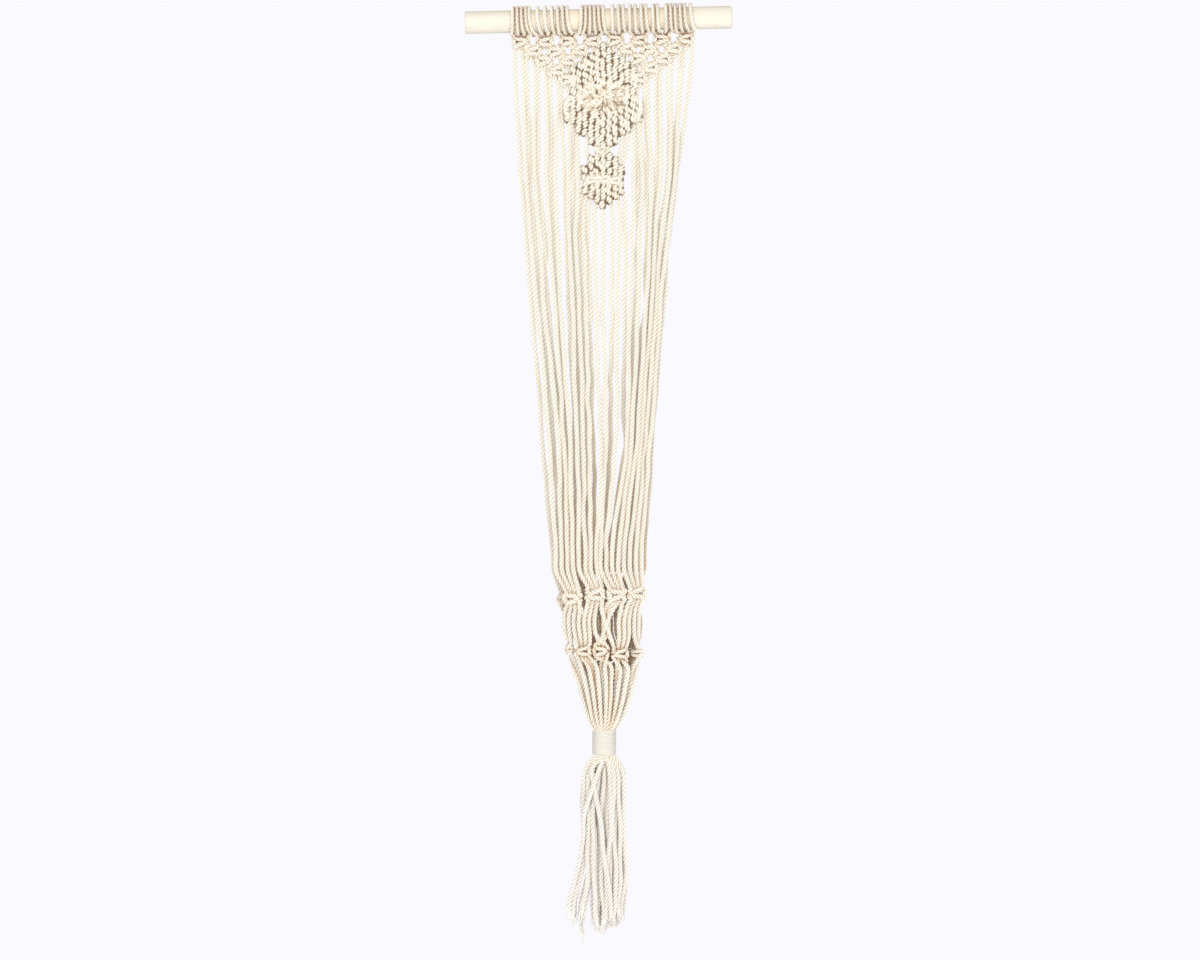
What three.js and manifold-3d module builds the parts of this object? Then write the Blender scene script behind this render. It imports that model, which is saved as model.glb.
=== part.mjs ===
// Macrame plant hanger on a wooden dowel, hanging empty as it does from a wall.
// Sixteen cords are doubled over the dowel, which gives 32 strands. Under the dowel they are tied into
// a V of alternating square knots round a large and a small knotted medallion. Every second strand then
// hangs to the front and the others to the back. Two rings of square knots make the pocket for a pot,
// and a binding gathers all the strands above the tassel.
// Millimetres, +Z up, +X to the right of someone facing the front, which looks along -Y.
// The origin is the middle of the dowel's axis.

import * as THREE from "three";
import { mergeGeometries, mergeVertices } from "three/addons/utils/BufferGeometryUtils.js";
import Module from "manifold-3d";

const wasm = await Module();
wasm.setup();

// Driving dimensions

const DOWEL = { length: 285, radius: 12, edge: 1, sides: 32, tiltDegrees: 1.15 };
const CORD = { diameter: 4.2, strands: 32 };
const CLEARANCE = 0.3; // between pieces that lie on each other
const NET_X = 5; // the net hangs this far to the right of the dowel's middle

// Doubled cords on the dowel: the middle of each one, and half the distance between its two strands
const LARKS_HEADS = [
  { at: -89.0, open: 2.3 },
  { at: -80.0, open: 2.3 },
  { at: -69.7, open: 4.5 },
  { at: -53.6, open: 3.6 },
  { at: -41.0, open: 2.7 },
  { at: -25.9, open: 7.8 },
  { at: -11.2, open: 2.3 },
  { at: -2.2, open: 2.3 },
  { at: 9.8, open: 5.0 },
  { at: 23.7, open: 2.5 },
  { at: 36.2, open: 2.8 },
  { at: 48.0, open: 2.5 },
  { at: 60.5, open: 2.3 },
  { at: 74.4, open: 2.3 },
  { at: 84.4, open: 2.6 },
  { at: 95.0, open: 3.2 },
];

// A square knot round four strands, and the distance between the strands in it
const SQUARE_KNOT = { width: 16.6, depth: 9.8, height: 10.6, strandPitch: 3.75, sides: 6 };

// The V of square knots under the dowel: knots tied at each end of a row, from the top row down
const BAND = { firstRow: -22.7, rowStep: 10.15, pitch: 25.1, tiedAtEachEnd: [4, 3, 2, 1, 1] };

// Medallions: heights are from the centre, mid is on the centre line and tip at the sides
const LARGE_MEDALLION = {
  centre: -83,
  top: { mid: 59, tip: 30, half: 35.5 },
  upper: { mid: 28, tip: 4, half: 37.5 },
  waist: { mid: 0, tip: -4, half: 42 },
  lower: { mid: -26, tip: -8.5, half: 41 },
  bottom: { mid: -59, tip: -20, half: 35.5 },
  ridges: 3,
  hitches: 3,
};
const SMALL_MEDALLION = {
  centre: -172,
  top: { mid: 27, tip: 10, half: 18 },
  upper: { mid: 12, tip: 3, half: 22 },
  waist: { mid: 0, tip: 0, half: 24.5 },
  lower: { mid: -12, tip: -4, half: 23 },
  bottom: { mid: -27.5, tip: -11, half: 19 },
  ridges: 2,
  hitches: 2,
};
const RELIEF = { valley: 3, crest: 5.2, centre: 6.5, betweenHitches: 0.82, back: 0.85 };

// Strands that leave the medallions: distances from the centre line, left half, from the outside in
const LARGE_SIDE_STRANDS = [33, 28];
const LARGE_TO_SMALL = [
  { leaves: 15.5, arrives: 15 },
  { leaves: 11, arrives: 10.5 },
  { leaves: 6.5, arrives: 6 },
  { leaves: 2.3, arrives: 2 },
];
const SMALL_EXITS = [-18.5, -14.5, -10, -3, 3, 10, 14.5, 18.5];
const BELOW_SMALL = [-22, -17.8, -11, -3, 3.2, 10.5, 16.6, 21];

// The pocket's two rings of knots, in order round the pocket from the front's left end
const RING_A = [
  { x: -27.5, y: -15.5, z: -618 },
  { x: -3.5, y: -19, z: -614 },
  { x: 18.5, y: -18, z: -614 },
  { x: 39.5, y: -12.5, z: -613 },
  { x: 31.5, y: 15.5, z: -615 },
  { x: 8, y: 19, z: -614 },
  { x: -14.5, y: 18, z: -613 },
  { x: -36.5, y: 12, z: -622 },
];
const RING_B = [
  { x: -16.5, y: -16, z: -677 },
  { x: 4, y: -17, z: -676 },
  { x: 24, y: -14, z: -680 },
  { x: 40.5, y: 1.5, z: -679 },
  { x: 21, y: 15.5, z: -677 },
  { x: 0, y: 17, z: -677 },
  { x: -20, y: 15, z: -678 },
  { x: -33, y: -1, z: -676 },
];

const POCKET = { widthToDepth: 2.4 };

// The hanging strands between the band and the pocket
const HANG = { steps: [0.33, 0.7], sway: 0.8 };

// The gathered neck, its binding and the tassel
const NECK = { x: 6.9, bindingTop: -758.5, bindingBottom: -786, coreRadius: 10.6, split: -772 };
const GATHER = { top: -739, halfWidth: 20.5, halfDepth: 15.5, layerInset: 4.6, rim: 3 };
const BINDING = { thickness: 2, turns: 9, groove: 0.45, sides: 20 };
const TASSEL = { spreadTop: -797, spreadRadius: 15.5, tip: -970, tipSpread: 13.5, sway: 1.2 };
const TASSEL_LAYERS = [
  { strands: 16, halfWidth: 22.5, halfDepth: 18, root: 13 },
  { strands: 12, halfWidth: 14, halfDepth: 11, root: 8 },
  { strands: 4, halfWidth: 5.5, halfDepth: 4.5, root: 3.5 },
];

const MATERIALS = {
  wood: new THREE.MeshStandardMaterial({ color: 0xf0dfb8, roughness: 0.6, metalness: 0 }),
  cotton: new THREE.MeshStandardMaterial({ color: 0xeee2c8, roughness: 0.95, metalness: 0 }),
  thread: new THREE.MeshStandardMaterial({ color: 0xf1ebdc, roughness: 0.9, metalness: 0 }),
};

// Small helpers

const SLOPE = Math.tan(THREE.MathUtils.degToRad(DOWEL.tiltDegrees));
const mix = THREE.MathUtils.lerp;
const point = (x, y, z) => new THREE.Vector3(x, y, z);
const ALONG_X = point(1, 0, 0);

// Height of the dowel's axis at x, because the dowel rises a little to the right
const lean = (x) => x * SLOPE;

// A repeatable unevenness between -1 and 1 for a strand
const uneven = (strand, kind) => Math.sin(strand * 12.9898 + kind * 78.233);

// A path with one section of a tube at each of its points
class PointPath extends THREE.Curve {
  constructor(points) {
    super();
    this.points = points;
  }
  getPoint(t) {
    const place = t * (this.points.length - 1);
    const before = Math.min(Math.floor(place), this.points.length - 2);
    return point(0, 0, 0).lerpVectors(this.points[before], this.points[before + 1], place - before);
  }
  getPointAt(u) {
    return this.getPoint(u);
  }
  // Sections stay square to the path, with their width along X as far as the path allows
  computeFrenetFrames() {
    const last = this.points.length - 1;
    const tangents = this.points.map((_, k) => {
      const after = this.points[Math.min(k + 1, last)];
      return after.clone().sub(this.points[Math.max(k - 1, 0)]).normalize();
    });
    const normals = tangents.map((along) => ALONG_X.clone().projectOnPlane(along).normalize());
    const binormals = tangents.map((along, k) => along.clone().cross(normals[k]));
    return { tangents, normals, binormals };
  }
}

// Sections of a single strand, flat on the side away from the viewer, and of two strands side by side
const HALF = CORD.diameter / 2;
const STRAND_SECTION = new THREE.Shape([
  new THREE.Vector2(0, HALF * 0.95),
  new THREE.Vector2(-HALF * 0.84, -HALF * 0.7),
  new THREE.Vector2(HALF * 0.84, -HALF * 0.7),
]);
const PAIR_SECTION = new THREE.Shape([
  new THREE.Vector2(-HALF * 1.7, -HALF * 0.8),
  new THREE.Vector2(HALF * 1.7, -HALF * 0.8),
  new THREE.Vector2(HALF * 1.7, HALF * 0.8),
  new THREE.Vector2(-HALF * 1.7, HALF * 0.8),
]);

function tube(points, shape) {
  return new THREE.ExtrudeGeometry(shape, {
    steps: points.length - 1,
    extrudePath: new PointPath(points),
    bevelEnabled: false,
  });
}

// A closed geometry as a solid that can be joined and cut
function solid(geometry) {
  const bare = geometry.clone();
  bare.deleteAttribute("normal");
  bare.deleteAttribute("uv");
  const merged = mergeVertices(bare, 1e-3);
  const build = (triVerts) =>
    new wasm.Manifold(
      new wasm.Mesh({ numProp: 3, vertProperties: merged.attributes.position.array, triVerts }),
    );
  const triangles = new Uint32Array(merged.index.array);
  const made = build(triangles);
  return made.volume() > 0 ? made : build(triangles.reverse());
}

const joined = (geometries) => geometries.map(solid).reduce((whole, next) => whole.add(next));

function geometryOf(manifold) {
  const mesh = manifold.getMesh();
  const geometry = new THREE.BufferGeometry();
  geometry.setAttribute("position", new THREE.BufferAttribute(mesh.vertProperties, 3));
  geometry.setIndex(new THREE.BufferAttribute(mesh.triVerts, 1));
  geometry.computeVertexNormals();
  return geometry;
}

// A body turned about the Z axis: profile points are [radius, height]
function turned(profile, sides) {
  const outline = profile.map(([radius, height]) => new THREE.Vector2(radius, height));
  return new THREE.LatheGeometry(outline, sides).rotateX(Math.PI / 2);
}

// Square knots

// Two wraps of the tying strands with a groove between them, as shares of the knot's half sizes
const KNOT_PROFILE = [
  [0, -1],
  [0.98, -1],
  [0.8, 0],
  [0.98, 1],
  [0, 1],
];

function squareKnot(centre, across) {
  const knot = turned(KNOT_PROFILE, SQUARE_KNOT.sides);
  const flats = Math.cos(Math.PI / SQUARE_KNOT.sides);
  knot.scale(SQUARE_KNOT.width / 2 / flats, SQUARE_KNOT.depth / 2, SQUARE_KNOT.height / 2);
  return knot.rotateZ(Math.atan2(across.y, across.x)).translate(centre.x, centre.y, centre.z);
}

// Where one of a knot's four strands passes through it
function inKnot(centre, across, slot, rise) {
  const offset = (slot - 1.5) * SQUARE_KNOT.strandPitch;
  return point(centre.x + across.x * offset, centre.y + across.y * offset, centre.z + rise);
}

// The V of square knots

const KNOTS_IN_FIRST_ROW = CORD.strands / 4;
const MIDDLE = CORD.strands / 2;

function bandKnot(row, index) {
  const x = NET_X + (index - (KNOTS_IN_FIRST_ROW - 1 - row) / 2) * BAND.pitch;
  return point(x, 0, BAND.firstRow - row * BAND.rowStep + lean(x));
}

function isTied(row, index) {
  const atEnd = BAND.tiedAtEachEnd[row];
  return index < atEnd || index >= KNOTS_IN_FIRST_ROW - row - atEnd;
}

// The knots of the band that a strand passes through, from the top down
function bandStops(strand) {
  const stops = [];
  BAND.tiedAtEachEnd.forEach((_, row) => {
    const place = strand - 2 * row;
    const index = Math.floor(place / 4);
    const inRow = place >= 0 && index < KNOTS_IN_FIRST_ROW - row;
    if (inRow && isTied(row, index)) stops.push({ centre: bandKnot(row, index), slot: place % 4 });
  });
  return stops;
}

function bandKnots() {
  const knots = [];
  BAND.tiedAtEachEnd.forEach((_, row) => {
    for (let index = 0; index < KNOTS_IN_FIRST_ROW - row; index++) {
      if (isTied(row, index)) knots.push(squareKnot(bandKnot(row, index), ALONG_X));
    }
  });
  return knots;
}

// Medallions

const inMedallion = (strand) => strand >= MIDDLE - 6 && strand < MIDDLE + 6;

// The lines of a medallion from top to bottom: ridges above, the centre, ridges below
function medallionLines(m) {
  const line = (a, b, t, rise) => ({
    mid: mix(a.mid, b.mid, t),
    tip: mix(a.tip, b.tip, t),
    half: mix(a.half, b.half, t),
    rise,
  });
  const ridged = (a, b) => {
    const lines = [];
    for (let k = 1; k <= 2 * m.ridges; k++) {
      lines.push(line(a, b, k / (2 * m.ridges + 1), k % 2 ? RELIEF.crest : RELIEF.valley));
    }
    return lines;
  };
  return [
    line(m.top, m.top, 0, 0),
    ...ridged(m.top, m.upper),
    line(m.upper, m.waist, 0.5, RELIEF.crest),
    line(m.waist, m.waist, 0, RELIEF.centre),
    line(m.waist, m.lower, 0.5, RELIEF.crest),
    ...ridged(m.bottom, m.lower).reverse(),
    line(m.bottom, m.bottom, 0, 0),
  ];
}

const heightOn = (m, line, x) => m.centre + mix(line.mid, line.tip, Math.min(Math.abs(x) / line.half, 1));

// A plate whose front and back meet at the rim, with the hitches raised on its ridges
function medallion(m) {
  const lines = medallionLines(m);
  const columns = 4 * m.hitches;
  const face = (side) => {
    const plane = new THREE.PlaneGeometry(1, 1, columns, lines.length - 1);
    const places = plane.attributes.position;
    for (let k = 0; k < places.count; k++) {
      const column = k % (columns + 1);
      const line = lines[Math.floor(k / (columns + 1))];
      const across = (2 * column) / columns - 1;
      const onRim = column === 0 || column === columns;
      const hitch = column % 2 ? 1 : RELIEF.betweenHitches;
      const x = across * line.half;
      places.setXYZ(k, NET_X + x, onRim ? 0 : side * line.rise * hitch, heightOn(m, line, x));
    }
    return plane;
  };
  const back = face(RELIEF.back);
  back.setIndex([...back.index.array].reverse());
  return mergeGeometries([face(-1), back]);
}

// Strands from the dowel to the end of the band

const LOOP = {
  radius: DOWEL.radius + CLEARANCE + HALF * 0.7 + 0.7,
  start: THREE.MathUtils.degToRad(-48),
  end: THREE.MathUtils.degToRad(228),
  steps: 8,
};

function legX(strand) {
  const head = LARKS_HEADS[Math.floor(strand / 2)];
  return head.at + (strand % 2 ? head.open : -head.open);
}

// From the first knot up behind the dowel, over its top and down the front into the knot again
function dowelLoop(strand) {
  const x = legX(strand);
  const { centre, slot } = bandStops(strand)[0];
  const foot = inKnot(centre, ALONG_X, slot, 2.5);
  const points = [point(foot.x, 2.2, foot.z)];
  for (let k = 0; k <= LOOP.steps; k++) {
    const angle = mix(LOOP.start, LOOP.end, k / LOOP.steps);
    points.push(point(x, LOOP.radius * Math.cos(angle), LOOP.radius * Math.sin(angle) + lean(x)));
  }
  points.push(point(foot.x, -2.2, foot.z));
  return tube(points, STRAND_SECTION);
}

// Two strands side by side hang from a knot into the medallion, or down beside it to a later row
function bandLinks() {
  const links = [];
  for (let first = 0; first < CORD.strands; first += 2) {
    const stops = bandStops(first);
    const at = (stop, rise) => inKnot(stop.centre, ALONG_X, stop.slot + 0.5, rise);
    stops.slice(1).forEach((stop, k) => {
      const skipsRow = stops[k].centre.z - stop.centre.z > 1.5 * BAND.rowStep;
      if (skipsRow) links.push(tube([at(stops[k], -3), at(stop, 3)], PAIR_SECTION));
    });
    const leaving = at(stops.at(-1), -3);
    const x = (leaving.x - NET_X) * 0.94;
    const inside = point(NET_X + x, 0, heightOn(LARGE_MEDALLION, LARGE_MEDALLION.top, x) - 6);
    if (inMedallion(first) && inside.z < leaving.z) links.push(tube([leaving, inside], PAIR_SECTION));
  }
  return links;
}

// Hanging strands from the band and the medallions down to the neck

const RING_PLACES = CORD.strands;

// A strand's place in the order round the pocket: even strands in front, odd ones behind
const ringPlace = (strand) => (strand % 2 ? (2 * RING_PLACES - 1 - strand) / 2 : strand / 2);

// The way round the pocket at a knot of a ring, from the oval that the ring's knots lie on
function ringDirection(ring, index) {
  const widths = ring.map(({ x }) => x);
  const centreX = (Math.max(...widths) + Math.min(...widths)) / 2;
  const { x, y } = ring[index];
  return point(-y * POCKET.widthToDepth ** 2, x - centreX, 0).normalize();
}

// Top and bottom of a strand's way through a knot of a ring
function throughRing(ring, place) {
  const index = Math.floor(place / 4);
  const across = ringDirection(ring, index);
  return [2.5, -2.5].map((rise) => inKnot(ring[index], across, place % 4, rise));
}

const bottomOf = (m, x) => heightOn(m, m.bottom, x);

// Where a strand starts to hang freely
function hangStart(strand) {
  if (!inMedallion(strand)) {
    const { centre, slot } = bandStops(strand).at(-1);
    return [inKnot(centre, ALONG_X, slot, -2), inKnot(centre, ALONG_X, slot, -9)];
  }
  const place = strand - (MIDDLE - 6);
  const side = place < 6 ? -1 : 1;
  const fromOutside = place < 6 ? place : 11 - place;
  if (fromOutside < LARGE_SIDE_STRANDS.length) {
    const x = side * LARGE_SIDE_STRANDS[fromOutside];
    const below = bottomOf(LARGE_MEDALLION, x);
    return [point(NET_X + x, 0, below + 5), point(NET_X + x, 0, below - 10)];
  }
  const small = place - LARGE_SIDE_STRANDS.length;
  const below = bottomOf(SMALL_MEDALLION, SMALL_EXITS[small]);
  return [
    point(NET_X + SMALL_EXITS[small], 0, below + 4),
    point(NET_X + BELOW_SMALL[small], 0, below - 14),
  ];
}

// Where a strand meets the gathered neck: the strands lie there in two layers
function gatherEnd(place) {
  const angle = Math.PI * (1 + (2 * (place + 0.5)) / RING_PLACES);
  const inset = place % 2 ? GATHER.layerInset : 0;
  const x = (GATHER.halfWidth - inset) * Math.cos(angle);
  const y = (GATHER.halfDepth - inset) * Math.sin(angle);
  return point(NECK.x + x, y, GATHER.top - 2);
}

function lowerStrand(strand) {
  const place = ringPlace(strand);
  const start = hangStart(strand);
  const ringA = throughRing(RING_A, place);
  const ringB = throughRing(RING_B, (place - 2 + RING_PLACES) % RING_PLACES);
  const from = start.at(-1);
  const to = ringA[0];
  const hang = HANG.steps.map((share) => {
    const sway = HANG.sway * Math.sin(Math.PI * share) * uneven(strand, 1);
    return point(mix(from.x, to.x, share) + sway, to.y * share, mix(from.z, to.z, share));
  });
  const end = gatherEnd(place);
  const above = ringB[1];
  const bag = point(mix(above.x, end.x, 0.4), mix(above.y, end.y, 0.36), mix(above.z, end.z, 0.52));
  return tube([...start, ...hang, ...ringA, ...ringB, bag, end], STRAND_SECTION);
}

// Strands between the large and the small medallion
function linkStrands() {
  return LARGE_TO_SMALL.flatMap(({ leaves, arrives }) =>
    [-1, 1].map((side) => {
      const top = bottomOf(LARGE_MEDALLION, leaves);
      const end = heightOn(SMALL_MEDALLION, SMALL_MEDALLION.top, arrives);
      return tube(
        [
          point(NET_X + side * leaves, 0, top + 5),
          point(NET_X + side * (leaves + arrives) * 0.52, 0, (top + end) / 2),
          point(NET_X + side * arrives, 0, end - 5),
        ],
        STRAND_SECTION,
      );
    }),
  );
}

// The gathered strands: a fluted cone above the binding and a plug inside its upper half
function neckCore() {
  const sides = CORD.strands;
  const profile = [
    [0, NECK.split + CLEARANCE / 2],
    [NECK.coreRadius, NECK.split + CLEARANCE / 2],
    [NECK.coreRadius, NECK.bindingTop + 1],
    [GATHER.halfWidth + GATHER.rim, GATHER.top],
    [0, GATHER.top],
  ];
  const core = turned(profile, sides);
  const places = core.attributes.position;
  const flat = (GATHER.halfDepth + GATHER.rim) / (GATHER.halfWidth + GATHER.rim);
  for (let k = 0; k < places.count; k++) {
    const above = places.getZ(k) > NECK.bindingTop + 2;
    const flute = Math.floor(k / profile.length) % 2 ? 0.93 : 1;
    if (above) places.setXYZ(k, places.getX(k) * flute, places.getY(k) * flute * flat, places.getZ(k));
  }
  return core.translate(NECK.x, 0, 0);
}

function net() {
  const strands = [...Array(CORD.strands).keys()];
  const ringKnots = [RING_A, RING_B].flatMap((ring) =>
    ring.map((centre, index) => squareKnot(centre, ringDirection(ring, index))),
  );
  return joined([
    ...bandKnots(),
    medallion(LARGE_MEDALLION),
    medallion(SMALL_MEDALLION),
    ...ringKnots,
    neckCore(),
    ...linkStrands(),
    ...bandLinks(),
    ...strands.map(dowelLoop),
    ...strands.map(lowerStrand),
  ]);
}

// Dowel, binding and tassel

function dowel() {
  const end = DOWEL.length / 2;
  const profile = [
    [0, -end],
    [DOWEL.radius - DOWEL.edge, -end],
    [DOWEL.radius, DOWEL.edge - end],
    [DOWEL.radius, end - DOWEL.edge],
    [DOWEL.radius - DOWEL.edge, end],
    [0, end],
  ];
  return turned(profile, DOWEL.sides).rotateY(Math.PI / 2);
}

// A ring whose outside shows the turns of the thread wound round the neck
function binding() {
  const inner = (NECK.coreRadius + CLEARANCE) / Math.cos(Math.PI / BINDING.sides);
  const outer = inner + BINDING.thickness;
  const steps = 2 * BINDING.turns;
  const profile = [];
  for (let k = 0; k <= steps; k++) {
    const radius = k % 2 ? outer : outer - BINDING.groove;
    profile.push([radius, mix(NECK.bindingBottom, NECK.bindingTop, k / steps)]);
  }
  profile.push([inner, NECK.bindingTop], [inner, NECK.bindingBottom], profile[0]);
  return turned(profile, BINDING.sides).translate(NECK.x, 0, 0);
}

function tasselStrand(layer, index, number) {
  const angle = (2 * Math.PI * (index + 0.5)) / layer.strands;
  const out = (share) => {
    const sway = TASSEL.sway * share;
    return [
      NECK.x + Math.cos(angle) * mix(layer.root, layer.halfWidth, share) + sway * uneven(number, 2),
      Math.sin(angle) * mix(layer.root, layer.halfDepth, share) + sway * uneven(number, 3),
    ];
  };
  const tip = TASSEL.tip + TASSEL.tipSpread * uneven(number, 4);
  const heights = [TASSEL.spreadTop + 6, -812, -845, -885, -925, tip];
  const spread = [0, 0.55, 0.9, 1, 1.02, 1];
  const points = heights.map((z, k) => point(...out(spread[k]), z));
  return tube(points, STRAND_SECTION);
}

function tassel() {
  const profile = [
    [0, TASSEL.spreadTop],
    [TASSEL.spreadRadius, TASSEL.spreadTop],
    [NECK.coreRadius, NECK.bindingBottom - 1],
    [NECK.coreRadius, NECK.split - CLEARANCE / 2],
    [0, NECK.split - CLEARANCE / 2],
  ];
  const strands = [];
  for (const layer of TASSEL_LAYERS) {
    for (let k = 0; k < layer.strands; k++) strands.push(tasselStrand(layer, k, strands.length));
  }
  return joined([turned(profile, BINDING.sides).translate(NECK.x, 0, 0), ...strands]);
}

// The object

const hanger = new THREE.Group();

function place(name, geometry, material) {
  const mesh = new THREE.Mesh(geometry, material);
  mesh.name = name;
  hanger.add(mesh);
  return mesh;
}

place("dowel", dowel(), MATERIALS.wood).rotation.y = THREE.MathUtils.degToRad(-DOWEL.tiltDegrees);
place("net", geometryOf(net()), MATERIALS.cotton);
place("binding", binding(), MATERIALS.thread);
place("tassel", geometryOf(tassel()), MATERIALS.cotton);

export default hanger;
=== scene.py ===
import math

import bpy
import mathutils
import numpy as np
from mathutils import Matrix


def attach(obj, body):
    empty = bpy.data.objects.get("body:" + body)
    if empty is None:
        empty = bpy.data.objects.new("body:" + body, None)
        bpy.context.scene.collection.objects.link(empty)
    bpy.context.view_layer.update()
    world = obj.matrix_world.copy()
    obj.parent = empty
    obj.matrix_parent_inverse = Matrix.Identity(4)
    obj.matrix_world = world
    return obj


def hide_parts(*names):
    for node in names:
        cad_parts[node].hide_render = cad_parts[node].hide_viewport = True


# Macrame plant hanger on a wooden dowel: sixteen twisted cotton cords, each doubled over the dowel.
# Paths are worked out in millimetres in the part's frame (+Z up, front towards -Y, origin in the
# dowel's middle) and become metres when a mesh is made.

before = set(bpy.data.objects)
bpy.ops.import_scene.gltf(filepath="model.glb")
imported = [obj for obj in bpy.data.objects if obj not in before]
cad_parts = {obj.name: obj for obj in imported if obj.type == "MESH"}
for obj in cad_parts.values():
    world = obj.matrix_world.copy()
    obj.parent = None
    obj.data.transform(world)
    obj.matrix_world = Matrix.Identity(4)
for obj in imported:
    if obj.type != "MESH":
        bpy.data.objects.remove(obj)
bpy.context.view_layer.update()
rng = np.random.default_rng(11)

MM = 0.001
FULL_TURN = 2 * math.pi
STRANDS = 32
HALF = STRANDS // 2
CORD = 5.3
NET_X = 5.0
DOWEL = {"length": 285.0, "radius": 12.0, "tilt": math.radians(1.15)}
SLOPE = math.tan(DOWEL["tilt"])
NECK = {"x": 6.1, "top": -758.5, "bottom": -786.0, "radius": 12.9}
UP = np.array([0.0, 0.0, 1.0])
ALONG_X = np.array([1.0, 0.0, 0.0])
FRONT = np.array([0.0, -1.0, 0.0])


def lean(x):
    """How much higher the tilted dowel lies at x than at its middle."""
    return x * SLOPE


def uneven(strand, kind):
    """A fixed value from -1 to 1 that differs from strand to strand."""
    return math.sin(strand * 12.9898 + kind * 78.233)


def mix(a, b, share):
    return a + (b - a) * share


def bell(value, middle, width):
    """1 at the middle, falling off smoothly on both sides."""
    return math.exp(-(((value - middle) / width) ** 2))


def at_height(z, table):
    """Value at a height, from rows of a height and a value."""
    return np.interp(z, table[:, 0], table[:, 1])


def plane_point(side, x, z, y=0.0):
    """A point of the net, to the left (side -1) or the right (side 1) of its middle."""
    return np.array([NET_X + side * x, y, z])


# Paths and tubes

SAME_POINT = 1e-3
SPAN_SAMPLES = 12
FEWEST_STEPS = 3


def blend(a, b, start, end, t):
    return (end - t) / (end - start) * a + (t - start) / (end - start) * b


def smooth(points, step):
    """A curve through the points, as points an even step apart and their distances along it."""
    p = np.asarray(points, float)
    keep = np.r_[True, np.linalg.norm(np.diff(p, axis=0), axis=1) > SAME_POINT]
    p = p[keep]
    ends = np.vstack([2 * p[0] - p[1], p, 2 * p[-1] - p[-2]])
    knots = np.r_[0, np.cumsum(np.sqrt(np.linalg.norm(np.diff(ends, axis=0), axis=1)))]
    spans = []
    for i in range(len(p) - 1):
        p0, p1, p2, p3 = ends[i : i + 4]
        t0, t1, t2, t3 = knots[i : i + 4]
        t = np.linspace(t1, t2, SPAN_SAMPLES, endpoint=False)[:, None]
        middle = blend(p1, p2, t1, t2, t)
        before = blend(blend(p0, p1, t0, t1, t), middle, t0, t2, t)
        after = blend(middle, blend(p2, p3, t2, t3, t), t1, t3, t)
        spans.append(blend(before, after, t1, t2, t))
    dense = np.vstack(spans + [p[-1:]])
    length = np.r_[0, np.cumsum(np.linalg.norm(np.diff(dense, axis=0), axis=1))]
    steps = max(int(round(length[-1] / step)), FEWEST_STEPS)
    at = np.linspace(0, length[-1], steps + 1)
    return np.stack([np.interp(at, length, dense[:, k]) for k in range(3)], axis=1), at


def point_shares(points):
    """How far along the whole length each point lies, from 0 to 1."""
    length = np.r_[0, np.cumsum(np.linalg.norm(np.diff(np.asarray(points), axis=0), axis=1))]
    return length / length[-1]


def normals_along(path):
    """Unit normals and binormals that turn as little as they can."""
    tangents = np.gradient(path, axis=0)
    tangents /= np.linalg.norm(tangents, axis=1)[:, None]
    normal = np.cross(tangents[0], ALONG_X if abs(tangents[0][0]) < 0.8 else UP)
    normals = np.empty_like(path)
    for k, tangent in enumerate(tangents):
        normal = normal - tangent * normal.dot(tangent)
        normal = normal / np.linalg.norm(normal)
        normals[k] = normal
    return normals, np.cross(tangents, normals)


def tube_faces(sections, sides):
    """Quads along a closed tube and triangles at its ends, whose middle points come last."""
    ring = np.arange(sides)
    after = (ring + 1) % sides
    first = (np.arange(sections - 1) * sides)[:, None]
    quads = np.stack([first + ring, first + after, first + sides + after, first + sides + ring], axis=-1)
    last = (sections - 1) * sides
    middle = np.full(sides, sections * sides)
    caps = [(after, ring, middle), (last + ring, last + after, middle + 1)]
    return quads.reshape(-1, 4), np.vstack([np.stack(cap, axis=-1) for cap in caps])


# Rope and thread

PLIES = 3
# Step between sections of the mesh, radii of grooves and crests as shares, and angle of a sharp edge
ROPE = {"step": 1.2, "groove": 0.6, "crest": 1.0, "sharp": math.radians(38)}
# Rope of a medallion: length of a full twist, and share of the ridges' height and of the painted shade in
# their grooves
TIGHT_ROPE = {"lay": 11.0, "ridge": 0.85}
# Height, and length of a full twist there: shorter in the knots of the rings
LAY = np.array([
    (-700.0, 14.0), (-690.0, 12.0), (-664.0, 12.0), (-655.0, 14.0),
    (-630.0, 14.0), (-622.0, 12.0), (-606.0, 12.0), (-598.0, 14.0),
])
# Height, and share of the cord's thickness: more in the first ring, less in the second and on the dowel
THICKNESS = np.array([
    (-688.0, 1.0), (-681.0, 0.9), (-670.0, 0.9), (-663.0, 1.0), (-627.0, 1.0),
    (-620.0, 1.14), (-608.0, 1.14), (-601.0, 1.0), (-24.0, 1.0), (-13.0, 0.8),
])
# Round a section: a groove and two points on the crest of each ply, with painted shade in each groove
SECTION_SIDES = 3 * PLIES
SECTION_ANGLES = np.radians(np.arange(SECTION_SIDES) * 360.0 / SECTION_SIDES)
SECTION_RADII = np.tile([ROPE["groove"], ROPE["crest"], ROPE["crest"]], PLIES)
# Painted shade: 1 at a groove, where the colour is darkened towards the deep colour
SECTION_GROOVES = np.tile([1.0, 0.0, 0.0], PLIES)
# Thread: length of a full twist, and how dark its painted shade is as a share of a groove's
THREAD = {"lay": 9.0, "groove": 0.15}
# Painted shade on the end caps of a tube, as a share of a groove's
END_GROOVE = 0.3
# Depth over which the painted shade of a medallion becomes full
SINK_DEPTH = 3.2


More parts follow.
